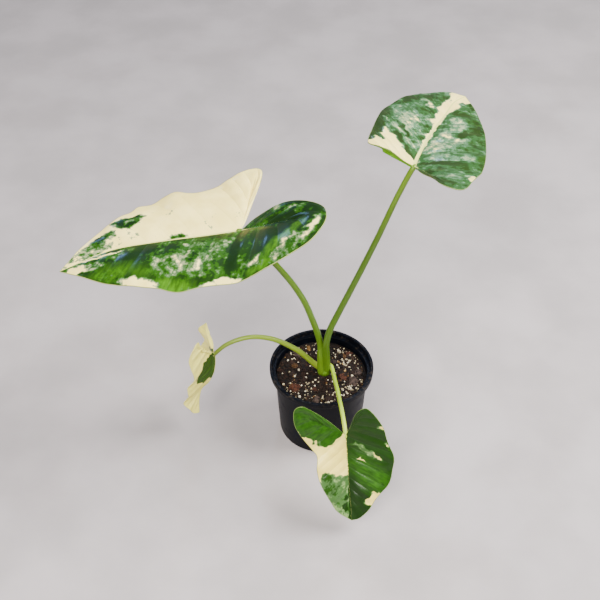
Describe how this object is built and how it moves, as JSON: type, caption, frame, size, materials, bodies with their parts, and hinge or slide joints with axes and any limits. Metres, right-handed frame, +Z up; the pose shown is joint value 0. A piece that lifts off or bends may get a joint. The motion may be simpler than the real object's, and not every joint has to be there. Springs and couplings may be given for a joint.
{
  "type": "potted alocasia",
  "caption": "House plant with long-stalked, arrow-shaped, variegated leaves growing from a short crown in a round black nursery pot of bark and perlite mix.",
  "frame": {"origin": "centre of the pot's flat underside", "axes": "+Z up along the pot's axis, -Y towards the plant's front, where the lowest leaf hangs over the rim, +X to the right of the picture"},
  "size_m": [0.4333, 0.3442, 0.3841],
  "materials": {
    "pot": "satin black injection-moulded polypropylene",
    "soil": "bark, perlite and peat potting mix",
    "crown": "living yellow-green stem tissue",
    "stalk": "living yellow-green leaf stalk",
    "leaf_large": "waxy leaf, half cream and half marbled green",
    "leaf_upper": "waxy leaf, marbled green with cream along the rib",
    "leaf_side": "waxy leaf, cream with a dark green patch",
    "leaf_front": "waxy leaf, dark green with cream and sage sectors"
  },
  "bodies": {
    "root": {"pot": "pot", "soil": "soil", "crown": "crown", "leaf_large": "leaf_large", "stalk_large": "stalk", "leaf_upper": "leaf_upper", "stalk_upper": "stalk", "leaf_side": "leaf_side", "stalk_side": "stalk", "leaf_front": "leaf_front", "stalk_front": "stalk"}
  },
  "joints": []
}
